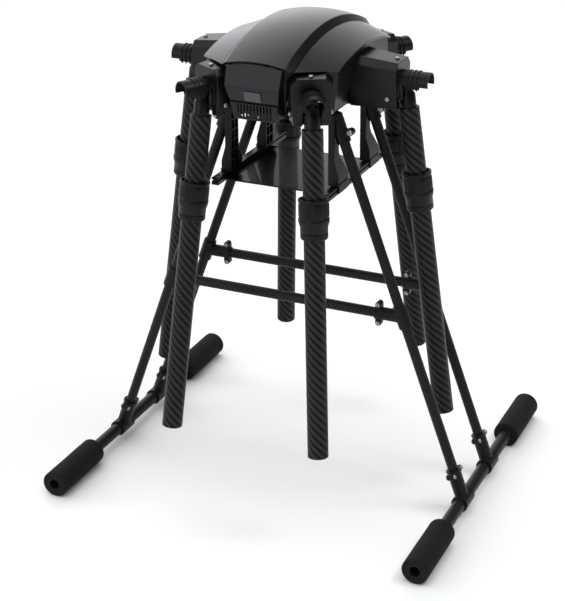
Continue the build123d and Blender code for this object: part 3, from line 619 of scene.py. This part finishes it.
# ---- landing gear tubes ----
# Thinner carbon tubes with a finer twill: 15 mm legs and crossbars, 19 mm skids.
# The legs lean outwards from clamps under the hub to tees on the skids.
SKID_X, SKID_Z, SKID_HALF, SKID_OUTER, SKID_INNER = 0.2905, 0.020, 0.268, 0.0095, 0.008
LEG_OUTER, LEG_INNER, LEG_Y, LEG_TOP_X, LEG_TOP_Z, LEG_END_Z = 0.0075, 0.006, 0.059, 0.0935, 0.560, 0.588
LEG_START, CROSSBAR_Z, CROSSBAR_SHORT = 0.016, 0.300, 0.0135
LEAN = atan2(SKID_X - LEG_TOP_X, LEG_TOP_Z - SKID_Z)
CORNERS = {"front_right": (1, -1), "front_left": (-1, -1), "rear_right": (1, 1), "rear_left": (-1, 1)}
GEAR_TOW = 0.0014


def on_leg(corner, distance):
    """Point on a corner's leg axis, a distance up from its skid's axis."""
    side, end = CORNERS[corner]
    return Vector((side * (SKID_X - distance * sin(LEAN)), end * LEG_Y, SKID_Z + distance * cos(LEAN)))


def up_leg(height):
    """Distance up a leg's axis at which it reaches a height."""
    return (height - SKID_Z) / cos(LEAN)


def gear_tube(name, start, end, outer, inner):
    """Landing gear tube, fixed to the airframe."""
    piece = tube(name, start, end, outer, inner, gear_carbon, columns=64)
    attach(piece, "airframe")
    return piece


# Each tow is drawn 1.4 mm wide, so that the finer diagonal of a 3K tow repeats every 5.6 mm.
# Painted sheen: #292a2c on the lengthwise tows stands for light they catch; #040405 is the carbon's black.
gear_carbon = carbon_twill("carbon_twill_gear_tube", GEAR_TOW, "#292a2c", "#040405")
for corner in CORNERS:
    leg = gear_tube(f"{corner}_leg_carbon", on_leg(corner, LEG_START), on_leg(corner, up_leg(LEG_END_Z)),
                    LEG_OUTER, LEG_INNER)
    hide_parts(f"{corner}_leg")
for side, label in ((1, "right"), (-1, "left")):
    skid = gear_tube(f"{label}_skid_carbon", (side * SKID_X, -SKID_HALF, SKID_Z),
                     (side * SKID_X, SKID_HALF, SKID_Z), SKID_OUTER, SKID_INNER)
    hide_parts(f"{label}_skid")
bar_end = on_leg("front_right", up_leg(CROSSBAR_Z)).x - CROSSBAR_SHORT
for end, label in ((-1, "front"), (1, "rear")):
    bar = gear_tube(f"{label}_crossbar_carbon", (-bar_end, end * LEG_Y, CROSSBAR_Z),
                    (bar_end, end * LEG_Y, CROSSBAR_Z), LEG_OUTER, LEG_INNER)
    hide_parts("crossbars")


# ---- landing gear fittings ----
# Glass-filled nylon tees and clamps, split and drawn tight on the tubes by bolts through their ears.
gear_nylon = moulded_nylon("nylon_gear_fitting", "#111213", 0.38)
for node in ("skid_tees", "crossbar_tees", "leg_clamps"):
    finished(node, gear_nylon, 0.0006)


# ---- bolts and screws ----
# Zinc-plated button-head screws with a hexagon socket: three in each fairing, and one through each ear of
# a fitting, with a head on both faces.
HEAD_HEX, SHANK = 0.0013, 0.0019
SCREW_HEAD, EAR_HEAD, CLAMP_HEAD = (0.0034, 0.0022), (0.0034, 0.0024), (0.0042, 0.0030)    # radius, height


def button_head(at, axis, head, shank_long, columns=24):
    """Button head and shank: a quarter-ellipse dome from the rim to a hexagon socket, whose rows follow the
    hexagon's radius a / cos(angle to the nearest flat's middle), and a plain shank below."""
    radius, high = head
    rim, centre = [(radius * 0.98, 0), (radius, high * 0.12)], HEAD_HEX * 1.35
    arc = [(radius * cos(a) + centre * (1 - cos(a)), high * (0.12 + 0.88 * sin(a)))
           for a in (0.35, 0.75, 1.15, pi / 2)]
    hexed = [(HEAD_HEX, high * 0.98), (HEAD_HEX, high * 0.35), (1e-5, high * 0.30)]
    foot = [(1e-5, -shank_long), (SHANK, -shank_long), (SHANK, 0)]
    radii, heights = turned_outline(foot + rim + arc + hexed, columns)
    angle = np.linspace(0, 2 * pi, columns, endpoint=False)
    hexagon = 1 / np.cos((angle + pi / 6) % (pi / 3) - pi / 6)
    rows = slice(len(foot + rim + arc), len(foot + rim + arc) + 2)
    radii[rows] *= hexagon
    return lathed(at, axis, radii, heights)


def joined(parts):
    """Point and face arrays of several surfaces as one pair."""
    offsets = np.cumsum([0] + [len(points) for points, _ in parts[:-1]])
    return (np.concatenate([points for points, _ in parts]),
            np.concatenate([faces + shift for (_, faces), shift in zip(parts, offsets)]))


SIDE_SCREW_OUT, SIDE_SCREW_ACROSS, SIDE_SCREW_Z, SIDE_SCREW_LONG = 0.147, 0.0288, 0.615, 0.006
TOP_SCREW_OUT, TOP_SCREW_Z, TOP_SCREW_LONG = 0.151, 0.6678, 0.011
screws = []
for place in ARM_NAMES:
    out = Vector((hinges[place].x, hinges[place].y, 0)).normalized()
    across = Vector(Z).cross(out)
    screws.append(button_head(out * TOP_SCREW_OUT + Vector((0, 0, TOP_SCREW_Z)), Z, SCREW_HEAD, TOP_SCREW_LONG))
    for side in (-1, 1):
        at = out * SIDE_SCREW_OUT + across * side * SIDE_SCREW_ACROSS + Vector((0, 0, SIDE_SCREW_Z))
        screws.append(button_head(at, across * side, SCREW_HEAD, SIDE_SCREW_LONG))
fairing_screws = make_piece("fairing_button_screws", *joined(screws), bolt_steel, fold=40)
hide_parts("socket_screws")
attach(fairing_screws, "airframe")

NECK_END, EAR_BACK, EAR_SPREAD, EAR_HALF, BRANCH_END = 0.050, 0.006, 0.015, 0.0055, 0.042
CLAMP_EAR_Z, CLAMP_EAR_OUT = 0.566, 0.015
bolts = []
for corner, (side, end) in CORNERS.items():
    tilt = Vector((side * cos(LEAN), 0, sin(LEAN)))
    ear = on_leg(corner, NECK_END - EAR_BACK)
    branch = on_leg(corner, up_leg(CROSSBAR_Z)) - Vector((side * (BRANCH_END - EAR_BACK), 0, 0))
    clamp = on_leg(corner, up_leg(CLAMP_EAR_Z)) + tilt * CLAMP_EAR_OUT
    for way in (-1, 1):
        across = Vector((0, way * EAR_SPREAD, 0))
        upright = Vector((0, 0, way * (EAR_SPREAD - 0.0005)))
        for facing in (-1, 1):
            outwards, face = tilt * facing, Vector((0, facing, 0))
            bolts.append(button_head(ear + across + outwards * EAR_HALF, outwards, EAR_HEAD, EAR_HALF))
            bolts.append(button_head(branch + upright + face * EAR_HALF, face, EAR_HEAD, EAR_HALF))
        face = Vector((0, way, 0))
        bolts.append(button_head(clamp + face * EAR_HALF, face, CLAMP_HEAD, EAR_HALF))
ear_bolts = make_piece("ear_button_bolts", *joined(bolts), bolt_steel, fold=40)
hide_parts("clamp_bolts")
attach(ear_bolts, "airframe")


# ---- foam sleeves ----
# Closed-cell NBR foam tube pushed on each skid end, 40 mm across, with a skinned side and a cut end face.
FOAM_OUTER, FOAM_START, FOAM_WAVE = 0.020, 0.153, 0.0003


def closed_cell_foam(name, colour):
    """Closed-cell rubber foam: very matt, with a fine cell pattern and slightly uneven tone."""
    material, tree, shader = principled(name, colour, Roughness=0.92, IOR=1.45, Specular_IOR_Level=0.25)
    place = add(tree, "ShaderNodeTexCoord").outputs["Object"]
    cells = add(tree, "ShaderNodeTexVoronoi", {"Scale": 1 / 0.0011}, {"Vector": place})
    tone = add(tree, "ShaderNodeTexNoise", {"Scale": 35.0, "Detail": 4.0}, {"Vector": place})
    mixed = add(tree, "ShaderNodeMix", {6: linear(colour), 7: linear("#121213")}, {0: tone.outputs["Fac"]},
                data_type="RGBA")
    bump = add(tree, "ShaderNodeBump", {"Strength": 0.4, "Distance": 0.0002},
               {"Height": cells.outputs["Distance"]})
    tree.links.new(mixed.outputs[2], shader.inputs["Base Color"])
    tree.links.new(bump.outputs["Normal"], shader.inputs["Normal"])
    return material


def foam_surface(long, columns=96):
    """Foam sleeve: flat ends rolled over by a quarter circle, a side that dips by a slow wave of 0.3 mm,
    and a bore on the tube."""
    bore, turn = SKID_OUTER + SLIDING_PLAY, 0.0022
    corner = [(FOAM_OUTER - turn * (1 - sin(a)), turn * (1 - cos(a))) for a in np.linspace(0, pi / 2, 6)]
    side = [(FOAM_OUTER, h) for h in np.linspace(turn, long - turn, 24)[1:-1]]
    other = [(r, long - h) for r, h in reversed(corner)]
    radius, height = turned_outline([(bore, 0.0)] + corner + side + other + [(bore, long)], columns)
    angle = np.linspace(0, 2 * pi, columns, endpoint=False)
    wave = 0.5 + 0.5 * np.sin(height * 95 + 1.3 * np.sin(angle * 2)) * np.cos(angle * 3)
    on_side = np.clip((radius - FOAM_OUTER + turn) / turn, 0, 1)
    return radius - FOAM_WAVE * wave * on_side, height


foam_rubber = closed_cell_foam("nbr_foam_sleeve", "#1d1d1e")
for corner, (side, end) in CORNERS.items():
    surface = lathed((side * SKID_X, end * FOAM_START, SKID_Z), (0, end, 0),
                     *foam_surface(SKID_HALF - FOAM_START))
    sleeve = make_piece(f"{corner}_foam", *surface, foam_rubber, fold=40)
    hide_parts("foam_sleeves")
    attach(sleeve, "airframe")


# ---- sizes ----
low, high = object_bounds()
